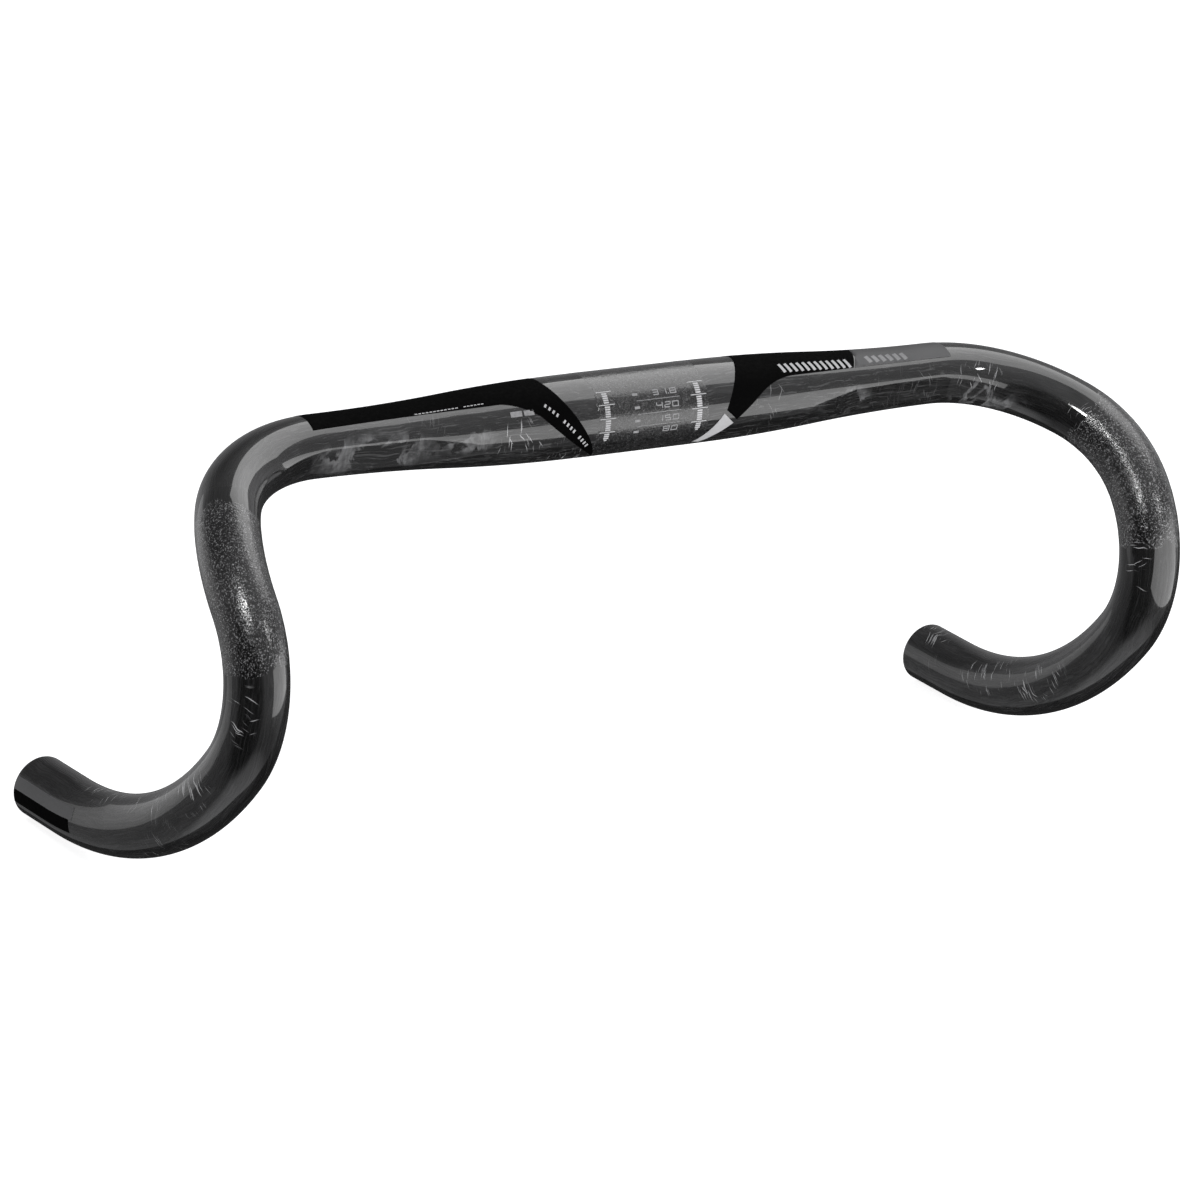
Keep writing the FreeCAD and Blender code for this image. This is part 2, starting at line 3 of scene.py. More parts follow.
import bmesh
import bpy
import numpy as np
from mathutils import Matrix, Vector


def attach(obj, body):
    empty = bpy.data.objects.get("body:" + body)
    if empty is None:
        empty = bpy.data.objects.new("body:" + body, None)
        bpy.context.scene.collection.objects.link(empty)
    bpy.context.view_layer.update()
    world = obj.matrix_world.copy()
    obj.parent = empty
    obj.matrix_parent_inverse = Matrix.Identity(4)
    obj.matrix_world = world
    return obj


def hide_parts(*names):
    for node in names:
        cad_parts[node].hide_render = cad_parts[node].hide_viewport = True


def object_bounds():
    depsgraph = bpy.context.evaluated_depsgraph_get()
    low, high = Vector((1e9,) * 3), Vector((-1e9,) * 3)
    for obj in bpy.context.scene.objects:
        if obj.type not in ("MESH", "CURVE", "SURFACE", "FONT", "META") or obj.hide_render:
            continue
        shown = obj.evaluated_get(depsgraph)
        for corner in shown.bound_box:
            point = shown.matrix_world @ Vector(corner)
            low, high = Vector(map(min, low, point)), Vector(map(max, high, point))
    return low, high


# Drop handlebar of moulded carbon.  Metres, +Z up, the rider looks along -Y and the origin is
# the centre of the stem clamp zone.  A tube's surface has two coordinates: the way along the
# centreline from the middle of the bar, positive on the rider's left, and the angle round it
# from the top towards the front.

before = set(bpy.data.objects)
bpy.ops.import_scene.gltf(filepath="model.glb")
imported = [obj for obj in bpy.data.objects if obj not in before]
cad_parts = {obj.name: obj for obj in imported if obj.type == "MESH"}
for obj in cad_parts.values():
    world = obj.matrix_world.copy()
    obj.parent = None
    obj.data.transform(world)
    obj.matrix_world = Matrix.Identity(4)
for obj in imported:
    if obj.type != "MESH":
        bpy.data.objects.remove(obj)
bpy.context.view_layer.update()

MM = 0.001

# ---------------------------------------------------------------- sizes of the bar

CLAMP_HALF = 27 * MM
TOPS_HALF = 141.8 * MM
END_LENGTH = 21.5 * MM
END_ROUND = 0.6 * MM
END_RINGS = 6
CLAMP_RADIUS = 15.8 * MM
TUBE_RADIUS = 11.8 * MM
CLAMP_WALL = 3.0 * MM
WALL = 2.2 * MM
LAYER = 0.1 * MM
COAT_HALF = 26 * MM
# centreline radius, angle, and roll from the last bend
BENDS = [
    ("shoulder", 62.0 * MM, 58.5, 14.0),
    ("ramp", 59.0 * MM, 41.0, 43.5),
    ("hook", 47.0 * MM, 78.5, 55.5),
    ("grip", 124.5 * MM, 53.5, 0.0),
]
FLAT_DIRECTION = math.radians(97)
FLAT_INNER = 78 * MM
FLAT_FULL = 100 * MM
FLAT_DEPTH = 1.2 * MM
FLAT_RUNOUT = 1.9 * MM
# how far the flat's edges are eased, and a distance to the flat that is never reached
EDGE_EASE = 0.12 * MM
NO_FLAT = 1.0
# where the lever coats begin in the ramp bend and end in the hook bend
COAT_IN_RAMP = math.radians(5.25)
COAT_IN_HOOK = math.radians(29.0)


# ---------------------------------------------------------------- centreline

class Stretch:
    """Straight or bent stretch of the centreline of the rider's left half."""

    def __init__(self, start, length, point, tangent, inward, top, radius=None):
        self.start = start
        self.length = length
        self.point = point
        self.tangent = tangent
        self.inward = inward
        self.top = top
        self.radius = radius

    def at(self, s):
        """Point, tangent, and the direction that was up on the tops."""
        way = s - self.start
        if self.radius is None:
            return self.point + self.tangent * way, self.tangent, self.top
        turn = Matrix.Rotation(way / self.radius, 3, self.tangent.cross(self.inward))
        centre = self.point + self.inward * self.radius
        return centre - turn @ (self.inward * self.radius), turn @ self.tangent, turn @ self.top


def make_centreline():
    point = Vector((0, 0, 0))
    tangent = Vector((1, 0, 0))
    inward = Vector((0, -1, 0))
    top = Vector((0, 0, 1))
    stretches = [Stretch(0, TOPS_HALF, point, tangent, inward, top)]
    marks = {"tops": TOPS_HALF}
    for name, radius, angle, roll in BENDS:
        last = stretches[-1]
        s = last.start + last.length
        point, tangent, top = last.at(s)
        if last.radius is not None:
            axis = last.tangent.cross(last.inward)
            inward = Matrix.Rotation(last.length / last.radius, 3, axis) @ last.inward
        inward = Matrix.Rotation(math.radians(roll), 3, tangent) @ inward
        length = radius * math.radians(angle)
        stretches.append(Stretch(s, length, point, tangent, inward, top, radius))
        marks[name] = s + length
    last = stretches[-1]
    s = last.start + last.length
    point, tangent, top = last.at(s)
    stretches.append(Stretch(s, END_LENGTH, point, tangent, inward, top))
    marks["end"] = s + END_LENGTH
    return stretches, marks


CENTRELINE, MARK = make_centreline()


def on_centreline(s):
    """The same for both halves: the rider's right half is the mirror of the left."""
    way = abs(s)
    stretch = next((c for c in CENTRELINE if way <= c.start + c.length), CENTRELINE[-1])
    point, tangent, top = stretch.at(way)
    front = tangent.cross(top)
    if s < 0:
        point, top, front = (Vector((-v.x, v.y, v.z)) for v in (point, top, front))
    return point, top, front


# ---------------------------------------------------------------- radius of the tube

def taper(s, clamp, tube):
    """Clamp cylinder, an S of two equal curves, and the round tube."""
    share = np.clip((np.abs(s) - CLAMP_HALF) / (TOPS_HALF - CLAMP_HALF), 0, 1)
    fall = 2 * (clamp - tube)
    return np.where(share < 0.5, clamp - fall * share**2, tube + fall * (1 - share) ** 2)


def flat_level(s):
    """How far the cable flat lies from the centreline; out of reach where there is none."""
    way = np.abs(s)
    round_radius = taper(way, CLAMP_RADIUS, TUBE_RADIUS)
    start = float(taper(FLAT_INNER, CLAMP_RADIUS, TUBE_RADIUS))
    full = float(taper(FLAT_FULL, CLAMP_RADIUS, TUBE_RADIUS)) - FLAT_DEPTH
    share = np.clip((way - FLAT_INNER) / (FLAT_FULL - FLAT_INNER), 0, 1)
    level = np.where(way < FLAT_FULL, start + (full - start) * share, round_radius - FLAT_DEPTH)
    shoulder_radius = BENDS[0][1]
    into_bend = np.clip((way - TOPS_HALF) / shoulder_radius, 0, math.pi / 2)
    level = level + FLAT_RUNOUT * np.sin(into_bend)
    return np.where(way < FLAT_INNER, NO_FLAT, level)


def outer_radius(s, angle):
    """Radius of the carbon, with the cable flat's edges a little rounded."""
    round_radius = taper(s, CLAMP_RADIUS, TUBE_RADIUS)
    facing = np.maximum(np.cos(angle - FLAT_DIRECTION), 0.05)
    flat = flat_level(s) / facing
    lower = np.minimum(round_radius, flat)
    return lower - EDGE_EASE * np.exp(-np.abs(round_radius - flat) / EDGE_EASE) / 2


# ---------------------------------------------------------------- meshes

def surface_points(stations, angles, radius):
    """Points of a tube's surface, its places in the straightened tube, both rings x round x 3.
    The straightened tube lies along its own X, so a grain laid out in it follows the bends."""
    rings = len(stations)
    points = np.zeros((rings, len(angles), 3))
    straight = np.zeros_like(points)
    cos, sin = np.cos(angles), np.sin(angles)
    for i, s in enumerate(stations):
        centre, top, front = (np.array(v) for v in on_centreline(s))
        r = radius[i][:, None]
        points[i] = centre + r * (cos[:, None] * top + sin[:, None] * front)
        straight[i, :, 0] = s
        straight[i, :, 1] = -radius[i] * sin
        straight[i, :, 2] = radius[i] * cos
    return points, straight


def grid_faces(rings, round_count):
    """Quads between rings that close round the tube."""
    faces = []
    for i in range(rings - 1):
        ring, following = i * round_count, (i + 1) * round_count
        for j in range(round_count):
            after = (j + 1) % round_count
            faces.append((ring + j, ring + after, following + after, following + j))
    return faces


def closing_faces(rings, round_count):
    """Quads from the last ring back to the first."""
    last = (rings - 1) * round_count
    return [(last + j, last + (j + 1) % round_count, (j + 1) % round_count, j)
            for j in range(round_count)]


def tube_object(name, layers, materials):
    """Tube made of layers that follow one another, each (stations, radius, material number),
    so that the outside, an end face and the bore make one closed skin."""
    angles = np.linspace(0, 2 * math.pi, ROUND, endpoint=False)
    points, straight, owner = [], [], []
    for stations, radius, number in layers:
        at, flat = surface_points(stations, angles, radius(stations, angles))
        points.append(at)
        straight.append(flat)
        owner += [number] * len(stations)
    points = np.concatenate(points)
    straight = np.concatenate(straight)
    rings = len(points)
    faces = grid_faces(rings, ROUND)
    numbers = []
    for i in range(rings - 1):
        numbers += [owner[i + 1]] * ROUND
    faces += closing_faces(rings, ROUND)
    numbers += [owner[0]] * ROUND
    return mesh_object(name, points, straight, faces, numbers, materials)


def add_straight(mesh, straight):
    grain = mesh.attributes.new("straight", "FLOAT_VECTOR", "POINT")
    grain.data.foreach_set("vector", np.asarray(straight).reshape(-1))


def mesh_object(name, points, straight, faces, numbers, materials):
    mesh = bpy.data.meshes.new(name)
    mesh.from_pydata(points.reshape(-1, 3).tolist(), [], faces)
    mesh.polygons.foreach_set("material_index", numbers)
    mesh.polygons.foreach_set("use_smooth", [True] * len(faces))
    mesh.set_sharp_from_angle(angle=CREASE)
    add_straight(mesh, straight)
    for material in materials:
        mesh.materials.append(material)
    mesh.update()
    piece = bpy.data.objects.new(name, mesh)
    bpy.context.scene.collection.objects.link(piece)
    return piece


# points round a tube, steps along it, the coats' grid, and the longest edge of a print
ROUND = 192
STEP = 1.2 * MM
BORE_STEP = 4 * STEP
GRAIN_PITCH = 0.38 * MM
INK_STEP = 2.5 * MM
# angles between faces above which an edge is sharp
CREASE = math.radians(50)
INK_CREASE = math.radians(40)
# heights of the coat's grains as shares of the layer, and how far it sinks where it thins out
COAT_LOW = 0.05
COAT_HIGH = 0.7
COAT_SUNK = 0.6
# share of the fine grains, and reaches of fine grains, coarse grains and clumps on the grid
FINE_SHARE = 0.65
FINE_REACH, COARSE_REACH, CLUMP_REACH = 1, 3, 8


def stations_between(start, end, step=STEP):
    count = max(2, int(round(abs(end - start) / step)) + 1)
    return np.linspace(start, end, count)


def constant(amount):
    return lambda stations, angles: np.full((len(stations), len(angles)), amount)


def outside(stations, angles):
    return outer_radius(stations[:, None], angles[None, :])


def bore(stations, angles):
    inner = taper(stations, CLAMP_RADIUS - CLAMP_WALL, TUBE_RADIUS - WALL)
    return np.repeat(inner[:, None], len(angles), axis=1)


# ---------------------------------------------------------------- shader graphs

class Graph:
    """Material made of nodes."""

    def __init__(self, name):
        self.material = bpy.data.materials.new(name)
        self.material.use_nodes = True
        self.nodes = self.material.node_tree.nodes
        self.links = self.material.node_tree.links
        self.nodes.clear()
        self.output = self.nodes.new("ShaderNodeOutputMaterial")
        self.shader = self.nodes.new("ShaderNodeBsdfPrincipled")
        self.links.new(self.shader.outputs[0], self.output.inputs["Surface"])

    def add(self, kind, inputs=None, **settings):
        node = self.nodes.new(kind)
        for key, amount in settings.items():
            setattr(node, key, amount)
        for key, amount in (inputs or {}).items():
            self.plug(node.inputs[key], amount)
        return node

    def plug(self, socket, amount):
        if isinstance(amount, bpy.types.NodeSocket):
            self.links.new(amount, socket)
        else:
            socket.default_value = amount

    def surface(self, **inputs):
        for key, amount in inputs.items():
            self.plug(self.shader.inputs[key.replace("_", " ")], amount)

    def along(self):
        """Places in the straightened tube, in metres."""
        return self.add("ShaderNodeAttribute", attribute_name="straight").outputs["Vector"]

    def placed(self):
        """Places in the bar's own frame, the same thing for pieces on the straight tops."""
        return self.add("ShaderNodeTexCoord").outputs["Object"]

    def scaled(self, vector, scale, turn=(0, 0, 0)):
        node = self.add("ShaderNodeMapping", {"Vector": vector, "Rotation": turn, "Scale": scale})
        return node.outputs[0]

    def noise(self, vector, scale=1.0, detail=2.0, roughness=0.5, distortion=0.0):
        node = self.add("ShaderNodeTexNoise", {
            "Vector": vector, "Scale": scale, "Detail": detail,
            "Roughness": roughness, "Distortion": distortion})
        return node.outputs["Fac"]

    def cells(self, vector, scale=1.0, feature="F1", output="Distance"):
        node = self.add("ShaderNodeTexVoronoi", {"Vector": vector, "Scale": scale},
                        feature=feature)
        return node.outputs[output]

    def span(self, amount, low, high, to_low=0.0, to_high=1.0, smooth=True):
        """Bring a range to another, with soft ends."""
        node = self.add("ShaderNodeMapRange", {
            "Value": amount, "From Min": low, "From Max": high,
            "To Min": to_low, "To Max": to_high})
        node.interpolation_type = "SMOOTHSTEP" if smooth else "LINEAR"
        return node.outputs[0]

    def math(self, operation, *amounts):
        node = self.add("ShaderNodeMath", operation=operation)
        for i, amount in enumerate(amounts):
            self.plug(node.inputs[i], amount)
        return node.outputs[0]

    def mix(self, share, first, second):
        """Mix of two colours."""
        node = self.add("ShaderNodeMix", data_type="RGBA")
        self.plug(node.inputs[0], share)
        self.plug(node.inputs[6], first)
        self.plug(node.inputs[7], second)
        return node.outputs[2]

    def shifted(self, vector, amount, scale, detail=2.0):
        """Vector moved about by a slow noise, so that a grain wanders."""
        noise = self.add("ShaderNodeTexNoise", {"Vector": vector, "Scale": scale,
                                                "Detail": detail})
        centred = self.add("ShaderNodeVectorMath", operation="SUBTRACT")
        self.plug(centred.inputs[0], noise.outputs["Color"])
        centred.inputs[1].default_value = (0.5, 0.5, 0.5)
        moved = self.add("ShaderNodeVectorMath", operation="MULTIPLY_ADD")
        self.plug(moved.inputs[0], centred.outputs[0])
        moved.inputs[1].default_value = (amount, amount, amount)
        self.plug(moved.inputs[2], vector)
        return moved.outputs[0]

    def bump(self, height, distance, strength=1.0, under=None):
        node = self.add("ShaderNodeBump", {"Height": height, "Distance": distance,
                                           "Strength": strength})
        if under is not None:
            self.plug(node.inputs["Normal"], under)
        return node.outputs[0]


def grey(level):
    return (level, level, level * 1.02, 1)


def carbon_grain(g, place):
    """Colour of the marbled top ply: wandering fibres and paler tows."""
    wander = g.shifted(place, 5 * MM, 55)
    fibres = g.noise(g.scaled(wander, (30, 1500, 1500)), 1.0, 3.0, 0.65)
    fine = g.noise(g.scaled(wander, (150, 3600, 3600)), 1.0, 2.0, 0.5)
    tows = g.noise(g.scaled(wander, (22, 95, 95), (0.2, 0.3, 0.5)), 1.0, 3.0, 0.55, 0.8)
    streak = g.math("MULTIPLY_ADD", fine, 0.35, g.math("MULTIPLY", fibres, 0.65))
    streak = g.span(streak, 0.36, 0.64)
    tow = g.span(tows, 0.52, 0.66)
    lines = g.span(fibres, 0.56, 0.66)
    dark = g.mix(streak, grey(0.0008), grey(0.006))
    pale = g.mix(streak, grey(0.003), grey(0.018))
    colour = g.mix(tow, dark, pale)
    apart = g.add("ShaderNodeSeparateXYZ", {"Vector": place})
    tops = g.span(g.math("ABSOLUTE", apart.outputs[0]), 0.12, 0.19, 0.55, 0.10)
    return g.mix(g.math("MULTIPLY", lines, tops), colour, grey(0.065)), streak


def near(g, place, centre, reach):
    """Soft mask round a place in the straightened tube, with its own reach each way."""
    apart = g.add("ShaderNodeVectorMath", operation="SUBTRACT")
    g.plug(apart.inputs[0], place)
    apart.inputs[1].default_value = centre
    share = g.scaled(apart.outputs[0], tuple(1 / r for r in reach))
    length = g.add("ShaderNodeVectorMath", {0: share}, operation="LENGTH")
    return g.span(length.outputs["Value"], 0.55, 1.0, 1.0, 0.0)


def on_tube(s, degrees, radius=TUBE_RADIUS):
    """A place in the straightened tube."""
    angle = math.radians(degrees)
    return (s, -radius * math.sin(angle), radius * math.cos(angle))


def either(g, masks):
    total = masks[0]
    for mask in masks[1:]:
        total = g.math("MAXIMUM", total, mask)
    return total


def filaments(g, place, thickness, length, share, turn, seed):
    """Mask of short thin curved strokes scattered over the surface, most of them lying
    round the tube."""
    moved = g.add("ShaderNodeVectorMath", operation="ADD")
    g.plug(moved.inputs[0], g.shifted(place, 5 * MM, 90))
    moved.inputs[1].default_value = (seed, seed, seed)
    laid = g.scaled(moved.outputs[0], (1, 1, 1), turn)
    cell = g.scaled(laid, (0.35 / thickness, 0.6 / length, 0.6 / length))
    distance = g.cells(cell)
    chosen = g.span(g.cells(cell, output="Color"), 1 - share, 1 - share + 0.03)
    line = g.span(distance, 0.20, 0.42, 1.0, 0.0)
    return g.math("MULTIPLY", line, chosen)


# where loose filaments show, and pale patches of marbling with painted sheen: way along, angle,
# reach along, reach round
FILAMENT_ZONES = [
    (-398, -155, 22, 9), (-358, -112, 20, 9), (-326, -70, 16, 9), (-283, -32, 12, 6),
    (-58, 84, 26, 8), (440, 180, 10, 8), (395, 140, 20, 9), (358, 114, 20, 9),
    (278, 84, 14, 6), (162, 70, 16, 7), (214, 80, 9, 8), (-20, 150, 40, 12), (60, 170, 40, 12),
]
SHEEN_PATCH_ZONES = [
    (-122, 93, 32, 10), (-82, 84, 16, 6), (166, 114, 20, 9), (95, 96, 14, 7), (-40, 200, 30, 9),
]


def zones(g, place, places):
    return either(g, [near(g, place, on_tube(s * MM, angle), (along * MM, r * MM, r * MM))
                      for s, angle, along, r in places])


def clear_coat(g, place, roughness=0.05):
    """Glossy lacquer with the slow waves of a hand-finished coat."""
    waves = g.noise(place, 60, 2.0, 0.4)
    normal = g.bump(waves, 0.07 * MM, 1.0)
    g.surface(Coat_Weight=1.0, Coat_Roughness=roughness, Coat_IOR=1.5, Coat_Normal=normal)
    return normal


def carbon_material():
    g = Graph("marbled_carbon")
    place = g.along()
    colour, streak = carbon_grain(g, place)
    strokes = g.math("MAXIMUM",
                     filaments(g, place, 0.17 * MM, 5.0 * MM, 0.34, (0.0, 0.0, 0.35), 0.0),
                     filaments(g, place, 0.15 * MM, 3.6 * MM, 0.22, (0.0, 0.6, -0.25), 0.31))
    spare = g.span(g.noise(place, 26, 1.0), 0.62, 0.72, 0.0, 0.35)
    where = g.math("MAXIMUM", zones(g, place, FILAMENT_ZONES), spare)
    strokes = g.math("MULTIPLY", strokes, where)
    # pale patches: the ply's own marbling, with painted sheen laid in as colour where the tows
    # would catch the light
    marble_and_sheen = g.noise(g.scaled(place, (85, 70, 70), (0.0, 0.4, 0.5)), 1.0, 5.0, 0.55, 0.5)
    feather = g.noise(g.scaled(g.shifted(place, 2 * MM, 200), (900, 90, 90), (0, 0.2, 0.3)),
                      1.0, 2.0, 0.5)
    mottle = g.noise(g.shifted(place, 3 * MM, 150), 210, 3.0, 0.6)
    marble_and_sheen = g.math("MULTIPLY", g.span(marble_and_sheen, 0.475, 0.525), zones(g, place, SHEEN_PATCH_ZONES))
    marble_and_sheen = g.math("MULTIPLY", marble_and_sheen, g.span(feather, 0.35, 0.65, 0.75, 1.0))
    marble_and_sheen = g.math("MULTIPLY", marble_and_sheen, g.span(mottle, 0.35, 0.62, 0.25, 1.0))
    colour = g.mix(g.math("MULTIPLY", marble_and_sheen, 0.9), colour, grey(0.12))
    colour = g.mix(g.math("MULTIPLY", strokes, 0.9), colour, grey(0.34))
    g.surface(Base_Color=colour, Roughness=g.span(streak, 0, 1, 0.55, 0.38),
              Specular_IOR_Level=0.12, Anisotropic=0.4)
    clear_coat(g, place)
    return g.material


def bore_material():
    g = Graph("bladder_side_carbon")
    place = g.along()
    wrinkles = g.noise(g.scaled(place, (300, 120, 120)), 1.0, 4.0, 0.6, 1.2)
    fibres = g.noise(g.scaled(place, (90, 2200, 2200)), 1.0, 2.0)
    colour = g.mix(fibres, grey(0.010), grey(0.028))
    g.surface(Base_Color=colour, Roughness=g.span(wrinkles, 0.3, 0.7, 0.35, 0.6),
              Specular_IOR_Level=0.4, Normal=g.bump(wrinkles, 0.3 * MM))
    return g.material


def cut_end_material():
    """Square-cut laminate: its plies show as rings that a saw has dulled."""
    g = Graph("cut_laminate")
    place = g.along()
    apart = g.add("ShaderNodeSeparateXYZ", {"Vector": place})
    radial = g.math("SQRT", g.math("ADD", g.math("POWER", apart.outputs[1], 2.0),
                                   g.math("POWER", apart.outputs[2], 2.0)))
    plies = g.math("SINE", g.math("MULTIPLY", radial, 2 * math.pi / (0.28 * MM)))
    marks = g.noise(place, 3500, 2.0)
    colour = g.mix(g.math("MULTIPLY_ADD", plies, 0.25, g.math("MULTIPLY", marks, 0.6)),
                   grey(0.014), grey(0.045))
    g.surface(Base_Color=colour, Roughness=0.7, Specular_IOR_Level=0.3,
              Normal=g.bump(g.math("ADD", marks, plies), 0.03 * MM))
    return g.material


def grit_material(name, depth, salt, gloss):
    """Sprayed anti-slip coat: hard rounded grains, dark and pale, in a glossy dark binder, with
    painted shade in the low places of its bumps.
    """
    g = Graph(name)
    place = g.along()
    moved = g.shifted(place, 0.5 * MM, 1500)
    grains = g.cells(moved, 1500, "SMOOTH_F1")
    wrinkles = g.noise(moved, 1250, 2.0, 0.6, 1.0)
    height = g.math("SUBTRACT", wrinkles, g.math("MULTIPLY", grains, 0.7))
    # mask of the low places of the bump, which are painted darker: painted shade in the hollows;
    # the pale grains show only outside it
    painted_pit_shade = g.span(wrinkles, 0.48, 0.53)
    pale = g.span(g.noise(moved, 1900, 1.0, 0.5), 0.48, 0.66)
    fine = g.noise(place, 3000, 2.0, 0.6)
    colour = g.mix(painted_pit_shade, grey(0.0006), grey(0.010))
    colour = g.mix(g.math("MULTIPLY", pale, painted_pit_shade), colour, grey(salt))
    normal = g.bump(height, depth, 1.0)
    g.surface(Base_Color=colour, Roughness=g.span(fine, 0.3, 0.7, 0.25, 0.4),
              Specular_IOR_Level=0.12, Normal=normal, Coat_Weight=1.0, Coat_Roughness=gloss,
              Coat_IOR=1.5, Coat_Normal=normal)
    return g.material


def print_material(name, level, roughness, gloss, spread):
    """Screen print under lacquer: fine mottle of the ink and slow waves of the lacquer."""
    g = Graph(name)
    place = g.along()
    mottle = g.noise(place, 900, 3.0, 0.6)
    broad = g.noise(place, 60, 2.0)
    tone = g.math("MULTIPLY_ADD", broad, 0.5, g.math("MULTIPLY", mottle, 0.5))
    colour = g.mix(g.span(tone, 0.3, 0.7), grey(level * (1 - spread)), grey(level * (1 + spread)))
    g.surface(Base_Color=colour, Roughness=g.span(mottle, 0.3, 0.7, roughness, roughness * 1.3),
              Specular_IOR_Level=gloss, Normal=g.bump(mottle, 0.01 * MM))
    return g.material


def epoxy_material():
    g = Graph("cured_epoxy")
    place = g.placed()
    haze = g.noise(place, 300, 3.0)
    g.surface(Base_Color=g.mix(haze, (0.16, 0.14, 0.09, 1), (0.28, 0.25, 0.17, 1)),
              Roughness=g.span(haze, 0.3, 0.7, 0.3, 0.5), Normal=g.bump(haze, 0.02 * MM))
    return g.material


# ---------------------------------------------------------------- pieces

def centre_piece(carbon, inside):
    reach = MARK["shoulder"]
    out = stations_between(-reach, reach)
    back = stations_between(reach, -reach, BORE_STEP)
    piece = tube_object("centre_moulding", [(out, outside, 0), (back, bore, 1)],
                        [carbon, inside])
    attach(piece, "root")
    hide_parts("centre_section")


def drop_piece(side, sign, carbon, inside, cut):
    start, end = MARK["shoulder"], MARK["end"]
    out = sign * stations_between(start, end - END_ROUND)
    corner = np.linspace(0, math.pi / 2, END_RINGS + 1)[1:]
    rim = sign * (end - END_ROUND + END_ROUND * np.sin(corner))
    drop_in = END_ROUND * (1 - np.cos(corner))

    def rounded(stations, angles):
        return np.repeat((TUBE_RADIUS - drop_in)[:, None], len(angles), axis=1)

    face = np.full(END_RINGS, sign * end)
    steps = np.linspace(TUBE_RADIUS - END_ROUND, TUBE_RADIUS - WALL, END_RINGS + 1)[1:]

    def cut_face(stations, angles):
        return np.repeat(steps[:, None], len(angles), axis=1)

    back = sign * stations_between(end - STEP, start, BORE_STEP)
    layers = [(out, constant(TUBE_RADIUS), 0), (rim, rounded, 0), (face, cut_face, 2),
              (back, constant(TUBE_RADIUS - WALL), 1)]
    piece = tube_object(side + "_drop_moulding", layers, [carbon, inside, cut])
    if sign < 0:
        piece.data.flip_normals()
    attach(piece, "root")
    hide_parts(side + "_drop")


def smooth_random(rng, shape, spread):
    """Random numbers from 0 to 1 on a grid, smoothed over some neighbours each way."""
    field = rng.random(shape)
    for axis in (0, 1):
        field = sum(np.roll(field, step, axis) for step in range(-spread, spread + 1))
    low, high = np.percentile(field, (1, 99))
    return np.clip((field - low) / (high - low), 0, 1)


def coat_sleeve(name, node, start, end, base_radius, ragged, material, seed):
    """Sprayed coat as a thin sleeve with real grains, no higher than the CAD's layer.  Where
    the spray thins out at the ends, the sleeve sinks into the tube and only grains show."""
    stations = stations_between(start, end, GRAIN_PITCH)
    count = int(2 * math.pi * base_radius / GRAIN_PITCH)
    angles = np.linspace(0, 2 * math.pi, count, endpoint=False)
    rng = np.random.default_rng(seed)
    shape = (len(stations), count)
    fine = smooth_random(rng, shape, FINE_REACH)
    coarse = smooth_random(rng, shape, COARSE_REACH)
    grains = FINE_SHARE * fine + (1 - FINE_SHARE) * coarse
    clumps = smooth_random(rng, shape, CLUMP_REACH)
    to_edge = np.minimum(stations - stations.min(), stations.max() - stations)[:, None]
    cover = np.clip((to_edge / ragged + clumps - 0.55) / 0.45, 0, 1)
    height = (COAT_LOW + (COAT_HIGH - COAT_LOW) * grains) * LAYER
    height = height * cover - (1 - cover) * COAT_SUNK * LAYER
    outer = surface_points(stations, angles, base_radius + height)
    back = stations_between(end, start)
    sunk = np.full((len(back), count), base_radius - 2 * LAYER)
    inner = surface_points(back, angles, sunk)
    points, straight = (np.concatenate(pair) for pair in zip(outer, inner))
    faces = grid_faces(len(points), count) + closing_faces(len(points), count)
    piece = mesh_object(name, points, straight, faces, [0] * len(faces), [material])
    if start < 0 and end < 0:
        piece.data.flip_normals()
    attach(piece, "root")
    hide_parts(node)


WAYS = np.linspace(TOPS_HALF, MARK["end"], 200)
CENTRES = np.array([on_centreline(way)[0] for way in WAYS])


def place_on_bar(point):
    """Way along the centreline and angle round it, of a point near the tube."""
    side = 1 if point.x >= 0 else -1
    way = abs(point.x)
    if way > TOPS_HALF:
        apart = np.linalg.norm(CENTRES - np.array((way, point.y, point.z)), axis=1)
        way = WAYS[np.argmin(apart)]
        for _ in range(4):
            centre, top, front = on_centreline(side * way)
            way += (point - centre).dot(top.cross(front)) * side
    centre, top, front = on_centreline(side * way)
    out = point - centre
    return side * way, math.atan2(out.dot(front), out.dot(top)), out.length


